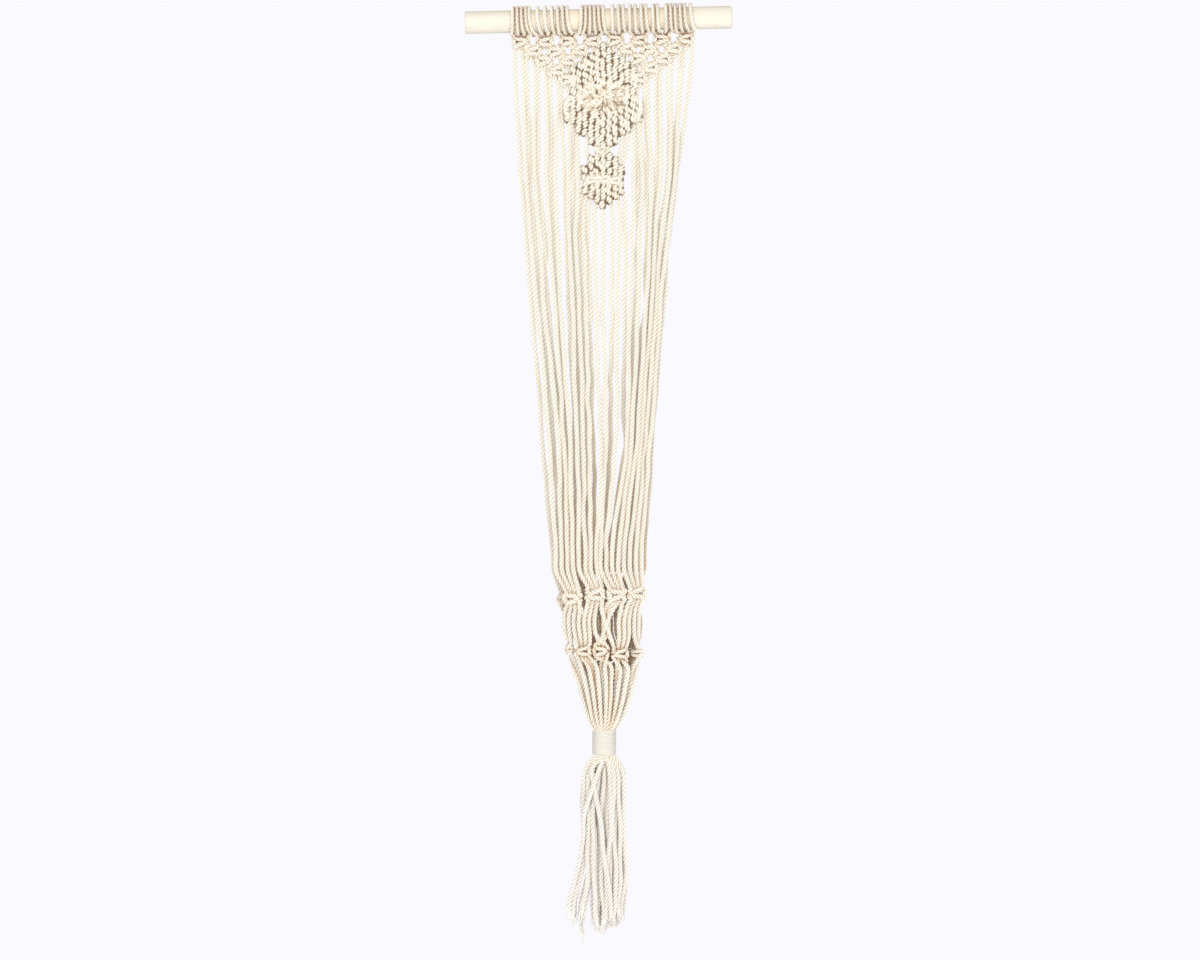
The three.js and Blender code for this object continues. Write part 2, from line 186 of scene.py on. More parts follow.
class Surface:
    """Vertices, faces and point values of one piece, gathered before its mesh is made."""

    def __init__(self):
        self.points, self.quads, self.tris = [], [], []
        self.lay, self.groove, self.crevice, self.sunk = [], [], [], []
        self.ropes = []
        self.count = 0

    def add(self, points, quads, tris, lay, groove):
        self.points.append(points)
        self.quads.append(quads + self.count)
        self.tris.append(tris + self.count)
        self.lay.append(lay)
        self.groove.append(groove)
        self.crevice.append(np.zeros(len(points)))
        self.sunk.append(np.zeros(len(points)))
        self.count += len(points)

    def sink(self, open_at, deepest):
        """Paints shade on the last tube by how far it lies below the surface of a medallion."""
        depth = open_at - np.abs(self.points[-1][:, 1])
        self.sunk[-1] = np.clip(depth / SINK_DEPTH, 0, deepest)

    def sweep(self, path, at, radius, angles, radii, grooves, twist):
        """A closed tube: radius is one number or one for each section."""
        normals, binormals = normals_along(path)
        sections, sides = len(path), len(angles)
        radius = np.broadcast_to(np.asarray(radius, float), (sections,))
        turn = angles[None, :] + twist[:, None]
        reach = radius[:, None] * radii[None, :]
        points = path[:, None] + reach[..., None] * (
            np.cos(turn)[..., None] * normals[:, None] + np.sin(turn)[..., None] * binormals[:, None]
        )
        along = np.broadcast_to(at[:, None], (sections, sides))
        lay = np.stack([reach * np.cos(angles), reach * np.sin(angles), along], axis=-1)
        self.add(
            np.vstack([points.reshape(-1, 3), path[0], path[-1]]),
            *tube_faces(sections, sides),
            np.vstack([lay.reshape(-1, 3), (0, 0, at[0]), (0, 0, at[-1])]),
            np.r_[np.tile(grooves, sections), END_GROOVE, END_GROOVE],
        )

    def rope(self, points, radius=None, shade=None):
        """Three-ply cord, in a medallion if it has a shade: radius is one number, or one for each point."""
        path, at = smooth(points, ROPE["step"])
        if radius is None:
            radius = CORD / 2 * at_height(path[:, 2], THICKNESS)
        elif np.ndim(radius):
            radius = np.interp(np.linspace(0, 1, len(path)), point_shares(points), radius)
        phase = rng.uniform(0, FULL_TURN)
        lay = TIGHT_ROPE["lay"] if shade else at_height(path[:, 2], LAY)
        ridge = TIGHT_ROPE["ridge"] if shade else 1.0
        twist = phase + FULL_TURN * np.cumsum(np.gradient(at) / lay)
        radii = mix(1.0, SECTION_RADII, ridge)
        self.sweep(path, at, radius, SECTION_ANGLES, radii, SECTION_GROOVES * ridge, twist)
        if shade:
            self.sink(*shade)
        else:
            self.ropes.append((len(self.points) - 1, path, at))
        return path

    def thread(self, points, radius, step, sides, taper=1.0):
        """A thin round yarn, drawn out to a point where taper is under 1."""
        path, at = smooth(points, step)
        angles = np.arange(sides) * FULL_TURN / sides
        thins = np.linspace(1.0, taper, len(path)) * radius
        grooves = np.full(sides, THREAD["groove"])
        self.sweep(path, at, thins, angles, np.ones(sides), grooves, FULL_TURN * at / THREAD["lay"])

    def make_piece(self, name, material, slot, nodes):
        """Makes the piece that takes the place of the nodes."""
        points = np.vstack(self.points) * MM
        quads, tris = np.vstack(self.quads), np.vstack(self.tris)
        mesh = bpy.data.meshes.new(name)
        mesh.vertices.add(len(points))
        mesh.vertices.foreach_set("co", points.ravel())
        corners = np.r_[quads.ravel(), tris.ravel()]
        mesh.loops.add(len(corners))
        mesh.loops.foreach_set("vertex_index", corners.astype(np.int32))
        totals = np.r_[np.full(len(quads), 4), np.full(len(tris), 3)]
        mesh.polygons.add(len(totals))
        mesh.polygons.foreach_set("loop_start", np.r_[0, np.cumsum(totals)[:-1]].astype(np.int32))
        mesh.update(calc_edges=True)
        lay = mesh.attributes.new("lay", "FLOAT_VECTOR", "POINT")
        lay.data.foreach_set("vector", np.vstack(self.lay).ravel())
        for key, values in (("groove", self.groove), ("crevice", self.crevice), ("sunk", self.sunk)):
            attribute = mesh.attributes.new(key, "FLOAT", "POINT")
            attribute.data.foreach_set("value", np.concatenate(values))
        mesh.shade_smooth()
        mesh.set_sharp_from_angle(angle=ROPE["sharp"])
        mesh.materials.append(material)
        piece = bpy.data.objects.new(name, mesh)
        bpy.context.scene.collection.objects.link(piece)
        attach(piece, "root")
        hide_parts(*nodes)


# Painted shade: darker colour in the narrow gaps between strands, where little light comes in, and inside the
# pocket

# Another strand counts within reach, and wholly from touch inwards, on surfaces that face it; a strand's
# own stretch nearer than "own" doesn't count; this many neighbours give full shade
SHADE = {"reach": 8.0, "touch": 4.2, "nearest": 0.5, "facing": 0.58, "own": 12.0, "full": 3.2}
# Painted shade on surfaces that look into the net, such as the inside of the pocket, by how far they turn
# inwards and lie from the middle plane
INSIDE = {"most": 0.48, "turned": 0.6, "start": 4.0, "over": 8.0}
# Height, and share of the shade: most under the pocket and on the dowel, least among the free ends
SHADE_SHARES = np.array([
    (-790.0, 0.5), (-770.0, 1.45), (-690.0, 1.55), (-660.0, 1.15), (-600.0, 1.05),
    (-560.0, 0.75), (-200.0, 0.58), (-60.0, 0.5), (-30.0, 0.7), (-10.0, 1.6),
])


def neighbour_shade(outward, way):
    """Shade on the points of a section from places that lie the given ways from its middle."""
    distance = np.maximum(np.linalg.norm(way, axis=1), SHADE["nearest"])
    weight = np.clip((SHADE["reach"] - distance) / (SHADE["reach"] - SHADE["touch"]), 0, 1)
    facing = outward @ (way / distance[:, None]).T
    return np.clip((facing - SHADE["facing"]) / (1 - SHADE["facing"]), 0, 1) @ weight


def inside_shade(outward, path):
    inward = np.clip(-outward[..., 1] * np.sign(path[:, 1])[:, None] / INSIDE["turned"], 0, 1)
    apart = np.clip((np.abs(path[:, 1]) - INSIDE["start"]) / INSIDE["over"], 0, 1)
    return INSIDE["most"] * apart[:, None] * inward


def shade_crevices(surfaces):
    """Sets the painted shade of the hanging cords, worked out at every second section."""
    ropes = [(surface, *rope) for surface in surfaces for rope in surface.ropes]
    places = np.vstack([path[::2] for _, _, path, _ in ropes])
    along = np.concatenate([at[::2] for _, _, _, at in ropes])
    owner = np.concatenate([np.full(len(at[::2]), k) for k, (_, _, _, at) in enumerate(ropes)])
    tree = mathutils.kdtree.KDTree(len(places))
    for k, place in enumerate(places):
        tree.insert(place, k)
    tree.balance()
    for k, (surface, index, path, at) in enumerate(ropes):
        sections = len(path)
        count = sections * SECTION_SIDES
        outward = surface.points[index][:count].reshape(sections, SECTION_SIDES, 3) - path[:, None]
        outward = outward / np.linalg.norm(outward, axis=2)[..., None]
        shade = np.zeros((sections, SECTION_SIDES))
        for section in range(0, sections, 2):
            found = np.array([near[1] for near in tree.find_range(path[section], SHADE["reach"])])
            found = found[(owner[found] != k) | (np.abs(along[found] - at[section]) > SHADE["own"])]
            if len(found):
                shade[section] = neighbour_shade(outward[section], places[found] - path[section])
        shade[1:-1:2] = (shade[:-2:2] + shade[2::2]) / 2
        deepest = np.maximum(shade / SHADE["full"], inside_shade(outward, path))
        share = at_height(path[:, 2], SHADE_SHARES)[:, None]
        surface.crevice[index][:count] = np.clip(deepest * share, 0, 1).ravel()


# Square knots


def with_lower_half(upper_half):
    """The points of a knot's upper half down to its middle, and their mirror image below."""
    return upper_half + [(a, n, -z) for a, n, z in reversed(upper_half[:-1])]


# Paths of a knot's four strands: shares of the distance between strands, the depth and the height
FRONT_TIER = with_lower_half([
    (-1.5, 0.0, 0.5), (-1.38, 0.4, 0.37), (-0.7, 0.9, 0.26), (0.0, 1.05, 0.22), (0.7, 0.9, 0.17),
    (1.25, 0.45, 0.1), (1.45, 0.0, 0.0),
])
BACK_TIER = with_lower_half([
    (1.5, 0.2, 0.5), (1.72, 0.72, 0.35), (1.78, 0.2, 0.18), (1.2, -0.7, 0.14), (0.5, -1.05, 0.14),
    (-0.5, -1.05, 0.14), (-1.25, -0.6, 0.2), (-1.8, 0.2, 0.22), (-1.72, 0.85, 0.12), (-1.66, 1.0, 0.0),
])
FILLERS = [[(side * 0.5, 0.0, z) for z in (0.5, 0.2, -0.2, -0.5)] for side in (-1, 1)]

# Sizes of a knot: distance between strands, depth and height
BAND_KNOT = (4.4, 4.3, 11.4)
RING_A_KNOT = (4.7, 4.4, 13.6)
RING_B_KNOT = (4.2, 4.2, 10.8)
SMALL_KNOT = (3.0, 3.4, 9.6)


def square_knot(centre, across, size, mirrored=False):
    """Points for the four strands of a knot, left to right, each from the top down."""
    out = np.cross(across, UP)
    width, depth, height = size
    tiers = [FRONT_TIER, *FILLERS, BACK_TIER]
    if mirrored:
        tiers = [[(-a, n, z) for a, n, z in tier] for tier in reversed(tiers)]

    def knot_point(a, n, z):
        return centre + a * width * across + n * depth * out + z * height * UP

    return [[knot_point(*shares) for shares in tier] for tier in tiers]


# Band under the dowel: rows of knots, one fewer from row to row, tied only at both ends
BAND = {"first_row": -22.7, "row_step": 10.15, "pitch": 25.1, "knots": 8, "uneven": 0.5}
TIED_AT_EACH_END = (4, 3, 2, 1, 1)


def band_knot(row, index):
    x = NET_X + (index - (BAND["knots"] - 1 - row) / 2) * BAND["pitch"]
    return np.array([x, 0.0, BAND["first_row"] - row * BAND["row_step"] + lean(x)])


def band_stops(strand):
    """The band's knots that a strand passes through, as points, from the top down."""
    stops = []
    for row, tied in enumerate(TIED_AT_EACH_END):
        place = strand - 2 * row
        index = place // 4
        knots = BAND["knots"] - row
        if 0 <= index < knots and (index < tied or index >= knots - tied):
            offset = np.array([uneven(index, row), 0, uneven(row, index + 3)])
            centre = band_knot(row, index) + BAND["uneven"] * offset
            stops.append(square_knot(centre, ALONG_X, BAND_KNOT, (row + index) % 2 == 1)[place % 4])
    return stops


# Rings of the pocket, from the front's left end round to the back's left end: x, y, z
RING_A = np.array([
    (-27.0, -15.5, -618), (-3.5, -19, -614), (19.0, -18, -614), (39.8, -12.5, -613),
    (31.5, 15.5, -615), (8, 19, -614), (-14.5, 18, -613), (-33.5, 12, -620),
])
RING_B = np.array([
    (-16.0, -16, -674), (2.6, -17, -674), (22.6, -14, -677), (41.3, 1.5, -677),
    (31, 13, -675), (11.5, 17, -675), (-9, 16, -676), (-29.5, -1, -673),
])
# Width of the pocket for each unit of depth
POCKET_RATIO = 2.4
# Knot of the second ring whose outer strands change sides
TURNED_KNOT = 1
# Strands that are tied in the front of the pocket; the others are tied in its back
FRONT_STRANDS = (*range(1, HALF, 2), *range(HALF, STRANDS, 2))


def ring_place(strand):
    """Place round the pocket: first along the front from the left, then back along the rear."""
    if strand in FRONT_STRANDS:
        return FRONT_STRANDS.index(strand)
    return STRANDS - 1 - (strand - sum(front < strand for front in FRONT_STRANDS))


def ring_across(ring, index):
    """Direction along the ring at one of its knots."""
    middle = (ring[:, 0].max() + ring[:, 0].min()) / 2
    x, y, _ = ring[index]
    across = np.array([-y * POCKET_RATIO**2, x - middle, 0.0])
    return across / np.linalg.norm(across)


def through_ring_a(place):
    """A square knot tied with four strands of the front or of the back."""
    index, order = divmod(place, 4)
    return square_knot(RING_A[index], ring_across(RING_A, index), RING_A_KNOT, index % 2 == 1)[order]


def through_ring_b(place):
    """A square knot tied with two strands of each of the two knots above it."""
    index, order = divmod((place - 2) % STRANDS, 4)
    if index == TURNED_KNOT and order in (0, 3):
        order = 3 - order
    return square_knot(RING_B[index], ring_across(RING_B, index), RING_B_KNOT, index % 2 == 0)[order]


# Strands over the dowel and in the band

# Doubled cords on the dowel: middle of each, and half the distance between its two strands
LARKS_HEADS = [
    (-89.0, 2.3), (-80.0, 2.3), (-69.7, 4.5), (-53.6, 3.6), (-41.0, 2.7), (-25.9, 7.8),
    (-11.2, 2.3), (-2.2, 2.3), (9.8, 5.0), (23.7, 2.5), (36.2, 2.8), (48.0, 2.5),
    (60.5, 2.3), (74.4, 2.3), (84.4, 2.6), (95.0, 3.2),
]
# Strand round the dowel: degrees, distance it stands off, and share of the way across to the band
WRAP = [
    (-46, 2.5, 0), (-29, 1.4, 0), (-6, 0.2, 0), (21, 0, 0), (50, 0, 0), (80, 0, 0), (110, 0, 0),
    (140, 0, 0), (170, 0, 0.03), (200, 0, 0.18), (228, 0, 0.5), (252, 0.2, 1.0),
]
WRAP_REACH = DOWEL["radius"] + CORD / 2 + 0.1
# How much wider than in its knot a strand stands where it leaves the dowel
WRAP_FOOT = 1.6
# Offset of the bar behind the dowel from the ends of its two strands
BAR = (0, 0.6, -0.6)

MEDALLION_STRANDS = range(10, 22)
# Entry at the large medallion's sides: share of x, y, z; and at its top: share of x, y, depth
SIDE_ENTRY_X = 28
SIDE_ENTRY = ((0.96, -1.0, -74.0), (0.9, 0.5, -82.0))
TOP_ENTRY = (0.95, 0.5, 4)


def dowel_wrap(strand):
    """From the bar behind the dowel up the back, over the top, down the front and under it."""
    middle, half = LARKS_HEADS[strand // 2]
    x = middle + (half if strand % 2 else -half)
    knot = band_knot(0, strand // 4)[0]
    foot = knot + WRAP_FOOT * (band_stops(strand)[0][0][0] - knot)
    points = []
    for degrees, stands_off, share in WRAP:
        angle = math.radians(degrees)
        at_x = mix(x, foot, share)
        r = WRAP_REACH + stands_off
        points.append(np.array([at_x, r * math.cos(angle), r * math.sin(angle) + lean(at_x)]))
    return points


def upper_path(strand):
    """A strand from the bar on the dowel to the last knot of the band, or into the large medallion."""
    points = dowel_wrap(strand)
    for stop in band_stops(strand):
        points += stop
    if strand in MEDALLION_STRANDS:
        x = points[-1][0] - NET_X
        if abs(x) > SIDE_ENTRY_X:
            points += [plane_point(1, x * share, z, y) for share, y, z in SIDE_ENTRY]
        else:
            share, y, depth = TOP_ENTRY
            points.append(plane_point(1, x * share, large_top(x) - depth, y))
    return points


# Hanging strands

# Below the band every second strand is drawn in: how far, and its share at two drops
DRAWN_IN = 4.6
BELOW_BAND = ((0.7, -6), (1.0, -14))
# Lower edges that strands leave: lowest point, rise at the side, and half-width
LARGE_EDGE = (-142, 39, 35.5)
SMALL_EDGE = (-199.5, 16.5, 19)
# Strands that leave the large medallion at the left and the right, the outer one first
LARGE_EXITS = {-1: (33.0, 28.0), 1: (39.7, 33.5)}
# Strands that leave the small medallion, and where they hang just below it
SMALL_EXITS = (-18.5, -15.0, -10.0, -4.5, -0.5, 7.0, 14.5, 18.5)
BELOW_SMALL = (-25.0, -20.5, -15.8, -9.6, -0.4, 9.5, 16.8, 23.2)


def edge_height(edge, x):
    lowest, rise, half_width = edge
    return lowest + rise * min(abs(x) / half_width, 1)


def leave_band(strand):
    last = band_stops(strand)[-1][-1]
    inward = DRAWN_IN if strand < HALF else -DRAWN_IN
    if strand % 2 == (strand >= HALF):
        inward = 0.0
    return [last + (inward * share, 0, drop) for share, drop in BELOW_BAND]


def leave_medallions(strand):
    """Two outer strands at each side leave the large medallion, and the others the small one."""
    place = MEDALLION_STRANDS.index(strand)
    from_right = len(MEDALLION_STRANDS) - 1 - place
    side = -1 if place < from_right else 1
    from_outside = min(place, from_right)
    if from_outside < 2:
        x = side * LARGE_EXITS[side][from_outside]
        below = edge_height(LARGE_EDGE, x)
        return [plane_point(1, x * 0.97, below + 9), plane_point(1, x, below - 6)]
    x = SMALL_EXITS[place - 2]
    below = edge_height(SMALL_EDGE, x)
    return [plane_point(1, x, below + 7), plane_point(1, BELOW_SMALL[place - 2], below - 12)]


# Where the strands hang at four heights, from left to right, as runs of strands side by side:
# place of a run's first strand, place of its last, and how many strands it has
CURTAIN_RUNS = {
    -460.0: (
        (-59.4, -59.4, 1), (-51.9, -47.1, 2), (-41.2, -30.3, 5), (-25.0, -22.6, 2), (-18.6, -13.6, 3),
        (-9.8, -5.4, 2), (2.7, 18.2, 4), (28.0, 56.8, 13),
    ),
    -299.0: (
        (-72.0, -72.0, 1), (-66.4, -54.4, 4), (-47.4, -40.6, 3), (-31.6, -9.6, 7), (-3.2, 4.8, 2),
        (13.7, 34.2, 4), (39.6, 42.6, 2), (49.6, 69.4, 9),
    ),
    -224.0: (
        (-77.6, -59.2, 5), (-52.2, -44.6, 3), (-35.6, -21.0, 5), (-16.4, -11.8, 2), (-4.3, 5.9, 2),
        (15.7, 35.8, 4), (42.0, 44.6, 2), (51.4, 68.0, 6), (73.4, 76.4, 3),
    ),
    -171.0: (
        (-82.9, -64.0, 5), (-55.6, -46.5, 3), (-36.6, -21.6, 4), (-13.5, -5.0, 3), (1.5, 4.0, 2),
        (11.5, 11.5, 1), (19.5, 23.5, 2), (38.3, 66.7, 7), (74.2, 76.3, 2), (79.9, 83.2, 3),
    ),
}
CURTAIN = {
    height: np.concatenate([np.linspace(*run) for run in runs]) for height, runs in CURTAIN_RUNS.items()
}
# Just above the pocket: first and last strand, and height; then a height and share of the turn to the knots
CURTAIN_FOOT = {"left": -49.3, "right": 49.2, "height": -566.0, "turn": -594.0, "turned": 0.12}

# Points along a hanging strand, clear of its start and its knot, and distance from the middle plane
HANGING = {"top": -96.0, "step": 17.0, "clear_above": 12, "clear_below": 8, "layer": 1.9}
# Waves of a hanging strand, two across and two in depth: height and length
WAVES = ((0.5, 33), (0.4, 15), (0.7, 28), (0.5, 13))
KINK = {"lowest": -540, "highest": -230, "bend": 2.4, "length": 16}
# Strands that come out of the small medallion and keep some of its crimp
CRIMPED_STRANDS = range(13, 19)
CRIMP = {"strong": 0.55, "slight": 0.2, "length": 7}


def curtain_place(strand, z, start, end):
    """Where a strand hangs at a height, between its first and last points."""
    foot = CURTAIN_FOOT
    low = mix(foot["left"], foot["right"], strand / (STRANDS - 1))
    stops = [(end[2], end[0]), (foot["turn"], mix(low, end[0], foot["turned"])), (foot["height"], low)]
    stops += [(height, places[strand]) for height, places in CURTAIN.items() if height < start[2] - 10]
    heights, places = zip(*stops, (start[2], start[0]))
    return np.interp(z, heights, places)


def hanging_path(strand):
    """A strand from the band or a medallion down to the first ring of the pocket."""
    points = leave_medallions(strand) if strand in MEDALLION_STRANDS else leave_band(strand)
    knot = through_ring_a(ring_place(strand))
    start, end = points[-1], knot[0]
    phases = rng.uniform(0, FULL_TURN, len(WAVES))
    layer = HANGING["layer"] * np.sign(end[1])
    kink = rng.uniform(KINK["lowest"], KINK["highest"])
    bend = KINK["bend"] * rng.normal()
    crimp = CRIMP["strong"] if strand in CRIMPED_STRANDS else CRIMP["slight"]
    for z in np.arange(HANGING["top"], end[2] + HANGING["clear_below"], -HANGING["step"]):
        if z > start[2] - HANGING["clear_above"]:
            continue
        share = (start[2] - z) / (start[2] - end[2])
        fade = min(1.0, 4 * math.sin(math.pi * share))
        wave = [height * math.sin(z / length + phase) for (height, length), phase in zip(WAVES, phases)]
        x = curtain_place(strand, z, start, end)
        x += fade * (wave[0] + wave[1])
        x += fade * crimp * math.sin(z / CRIMP["length"] + phases[2])
        x += fade * bend * (kink - z) / KINK["length"] * bell(z, kink, KINK["length"])
        y = mix(layer * min(1.0, 8 * share), end[1], share**1.7)
        y += fade * (wave[2] + wave[3])
        points.append(np.array([x, y, z]))
    return points + knot


# Strands from the pocket to the neck

# Layers of gathered strands: radius of each, and the layer of each strand in turn, front and back alike
NECK_RADII = (8.9, 5.2, 2.4)
NECK_ORDER = (0, 1, 0, 0, 1, 0, 0, 2, 1, 0, 0, 1, 0, 2, 1, 0)
# Which gap between the outer strands, counted from the left, each inner strand of the front lies behind
NECK_GAPS = {1: (1, 3, 4, 6, 8), 2: (5, 7)}
BUNDLE_FLATNESS = 0.9
# Edges of the pocket: height, left and right
POCKET_EDGES = np.array([
    (-760.0, -4.0, 16.0), (-749.0, -12.0, 26.0), (-727.0, -19.8, 36.4), (-706.0, -25.4, 42.0),
    (-690.0, -32.0, 45.5), (-645.0, -39.0, 46.8), (-620.0, -36.5, 46.5),
])
# Two strands of the front change places between the rings, one of them this far in front
CHANGED = {7: 10, 10: 7}
CHANGED_FRONT = 2.2
# How far single strands hang out of line, across and in depth
SLACK = (1.8, 2.2)
# Between the rings: share of the way down, and how evenly the strands are spread there
BETWEEN_RINGS = ((0.14, 0.5), (0.4, 0.9), (0.75, 0.8))
# Below the rings: share of the way down, and share of the way in to the neck
BELOW_RINGS = ((0.12, 0.09), (0.36, 0.3), (0.62, 0.56), (0.82, 0.79))
# There: how evenly the strands are spread, share of slack, depth of a layer and share where it is full
GATHER = {"even": 0.85, "slack": 0.6, "layer": 4.0, "layered": 0.3}
IN_BINDING = {"below_top": 4, "middle": -772, "above_bottom": 1}


def neck_layer(place):
    """Layer of a strand in the neck, its place from left (-1) to right (1), and front (-1) or back (1)."""
    order, back = place % HALF, place >= HALF
    layer = NECK_ORDER[order]
    index = NECK_ORDER[:order].count(layer)
    across = (2 * index + 1) / NECK_ORDER.count(layer) - 1
    return layer, (-across if back else across), (1 if back else -1)


def gathered(place, half_widths, half_depths):
    """Offset from the axis for a strand in an oval bundle."""
    layer, across, face = neck_layer(place)
    depth = half_depths[layer] * math.sqrt(1 - BUNDLE_FLATNESS * across**2)
    return np.array([half_widths[layer] * across, face * depth, 0.0])


def even_share(place):
    """Share of the way across for strands spaced evenly along the pocket's front or back."""
    return (place + 0.25) / HALF if place < HALF else (STRANDS - 0.25 - place) / HALF


def neck_share(place):
    """Share of the way across above the neck, where inner strands lie behind gaps."""
    layer, across, face = neck_layer(place)
    if layer == 0:
        return (across + 1) / 2
    index = NECK_ORDER[: place % HALF].count(layer)
    gap = NECK_GAPS[layer][index] / NECK_ORDER.count(0)
    return gap if face < 0 else 1 - gap


def across_pocket(z, share):
    """x at a height, for a share of the way from the pocket's left edge to its right one."""
    heights, left, right = POCKET_EDGES.T
    return mix(np.interp(z, heights, left), np.interp(z, heights, right), share)


def between_rings(above, place, slack):
    """A strand from its place in the first ring to its place in the second."""
    start, end = through_ring_a(above)[-1], through_ring_b(place)[0]
    points = []
    for share, even in BETWEEN_RINGS:
        point = mix(start, end, share) + slack
        spaced = [across_pocket(point[2], even_share(at)) for at in (above, place)]
        point[0] = mix(point[0], mix(*spaced, share), even)
        if above < place:
            point[1] -= CHANGED_FRONT
        points.append(point)
    return points


def below_rings(place, slack, start, end):
    """A strand from the second ring in to the top of the neck."""
    layer, _, _ = neck_layer(place)
    points = []
    for share, pull in BELOW_RINGS:
        point = mix(start, end, share)
        point[:2] = mix(start, end, pull)[:2] + GATHER["slack"] * slack[:2]
        point[0] = mix(point[0], across_pocket(point[2], neck_share(place)), GATHER["even"])
        behind = GATHER["layer"] * layer * min(1.0, share / GATHER["layered"])
        point[1] -= np.sign(point[1]) * min(abs(point[1]), behind)
        points.append(point)
    return points


def lower_path(strand):
    """A strand from the first ring through the second and the neck to the foot of the binding."""
    above = ring_place(strand)
    place = CHANGED.get(above, above)
    slack = np.array([SLACK[0] * uneven(strand, 6), SLACK[1] * uneven(strand, 7), 0.0])
    ring_b = through_ring_b(place)
    neck = np.array([NECK["x"], 0.0, 0.0]) + gathered(place, NECK_RADII, NECK_RADII)
    top = neck + UP * (NECK["top"] - IN_BINDING["below_top"])
    bottom = neck + UP * (NECK["bottom"] + IN_BINDING["above_bottom"])
    points = between_rings(above, place, slack) + ring_b + below_rings(place, slack, ring_b[-1], top)
    return points + [top, neck + UP * IN_BINDING["middle"], bottom]


# Free ends

# Half the width and half the depth of the tassel, for each layer of strands
TASSEL_WIDTHS = (22.5, 15.0, 7.0)
TASSEL_DEPTHS = (11.0, 8.0, 4.0)
# Two free ends that lie across the others at the front: distance below the binding, x and y
CROSSING = {
    6: (
        (4, 5.5, -10), (10, 2.5, -15.5), (22, -2.5, -19), (42, -9.5, -20), (62, -15.5, -17.5),
        (85, -16.5, -12), (110, -20, -9), (132, -25.5, -8), (152, -31, -7), (164, -32.5, -7),
    ),
    3: (
        (4, 1.0, -9), (12, -6.0, -14), (26, -5.5, -17), (48, -1.5, -18.5), (72, 3.0, -19),
        (95, 4.5, -18), (120, 8.0, -17), (145, 12.0, -15), (168, 13.5, -14),
    ),
}
LONGEST_END = 26
# Tips: height at the sides, how much lower in the middle and higher at the right, and the longest's extra
TIPS = {"height": -950, "middle": 12, "right": 3, "uneven": 5, "longest": 20}
# Drops below the binding: of the points, above a tip, and to full width, looseness and length
DROPS = {"points": range(3, 200, 9), "clear": 6, "wide": 16, "loose": 50, "whole": 180}
# Sideways: drift of the whole tassel, the left ends at the foot, and the right ends all the way down
DRIFT, LEFT_FOOT, RIGHT_LEAN = 2.6, 22, 1.2
# Bows of the right and the left ends: how far out, which sides, the drop and the length
RIGHT_BOW = {"out": 9.5, "from": 0.3, "drop": 130, "length": 24}
LEFT_BOW = {"out": 3.2, "from": -0.8, "to": -0.2, "drop": 80, "length": 45}
# Swings of a free end, two across and one in depth: how far, and radians over the whole length
SLOW_SWING, QUICK_SWING, DEEP_SWING = (2.0, 5), (0.9, 15), (1.6, 7)
# How far single ends hang out of line, across and in depth
END_SLACK = (1.6, 1.2)


def swing(most, turn, share, phase):
    return most * math.sin(share * turn + phase)


def tip_height(strand, place, side):
    tip = TIPS["height"] - TIPS["middle"] * (1 - side**2) + TIPS["uneven"] * uneven(strand, 4)
    tip += TIPS["right"] * max(side, 0)
    return tip - TIPS["longest"] if place == LONGEST_END else tip


def splay(side, drop, loose):
    """How far a free end stands off sideways at a drop, by its side from left (-1) to right (1)."""
    right_bow = bell(drop, RIGHT_BOW["drop"], RIGHT_BOW["length"])
    out = -LEFT_FOOT * max(-side, 0) * (drop / DROPS["whole"]) ** 4
    out += RIGHT_BOW["out"] * max(side - RIGHT_BOW["from"], 0) * right_bow
    out += RIGHT_LEAN * loose * max(side, 0)
    if LEFT_BOW["from"] < side < LEFT_BOW["to"]:
        out -= LEFT_BOW["out"] * bell(drop, LEFT_BOW["drop"], LEFT_BOW["length"])
    return out


def tassel_path(strand):
    """The free end below the binding, down to where it frays."""
    place = ring_place(strand)
    top = NECK["bottom"] - 1
    if place in CROSSING:
        return [np.array([x, y, top - drop]) for drop, x, y in CROSSING[place]]
    narrow = gathered(place, NECK_RADII, NECK_RADII)
    wide = gathered(place, TASSEL_WIDTHS, TASSEL_DEPTHS)
    side = wide[0] / TASSEL_WIDTHS[0]
    tip = tip_height(strand, place, side)
    points = []
    slow, deep, quick, _ = rng.uniform(0, FULL_TURN, 4)
    for drop in DROPS["points"]:
        z = top - drop
        if z < tip + DROPS["clear"]:
            break
        share = drop / DROPS["whole"]
        loose = min(1.0, drop / DROPS["loose"])
        widened = mix(narrow, wide, min(1.0, (drop / DROPS["wide"]) ** 0.75))
        point = widened + np.array([NECK["x"] - DRIFT * share, 0.0, z])
        wander = swing(*SLOW_SWING, share, slow) + swing(*QUICK_SWING, share, quick)
        wander += END_SLACK[0] * uneven(strand, 2)
        point[0] += loose * wander + splay(side, drop, loose)
        point[1] += loose * (swing(*DEEP_SWING, share, deep) + END_SLACK[1] * uneven(strand, 3))
        points.append(point)
    last = points[-1]
    points.append(last + np.array([1.5 * uneven(strand, 10), 1.0 * uneven(strand, 11), tip - last[2]]))
    return points


# Frayed ply: share of its length, and least and greatest distance from the strand's middle
FRAYED_POINTS = ((0.35, 1.1, 1.7), (0.7, 1.3, 2.6), (1.0, 1.2, 3.6))
# Radius, step between sections, sides and share of the radius at the tip
FRAYED_PLY = (1.25, 1.4, 6, 0.5)
FIBRE = (0.28, 1.8, 3, 0.3)
FIBRES_A_PLY = 4
# Range of a ply's length, how far up the strand it starts, and its distance from the middle there
PLY_LENGTH, PLY_START, PLY_OUT = (6, 11), 2, 0.9
# Fibre: how far out it leans, its spread, and how much shorter or longer than its ply it is
FIBRE_OUT, FIBRE_SPREAD, FIBRE_EXTRA = (0.4, 2.6), 0.9, (-2, 5)


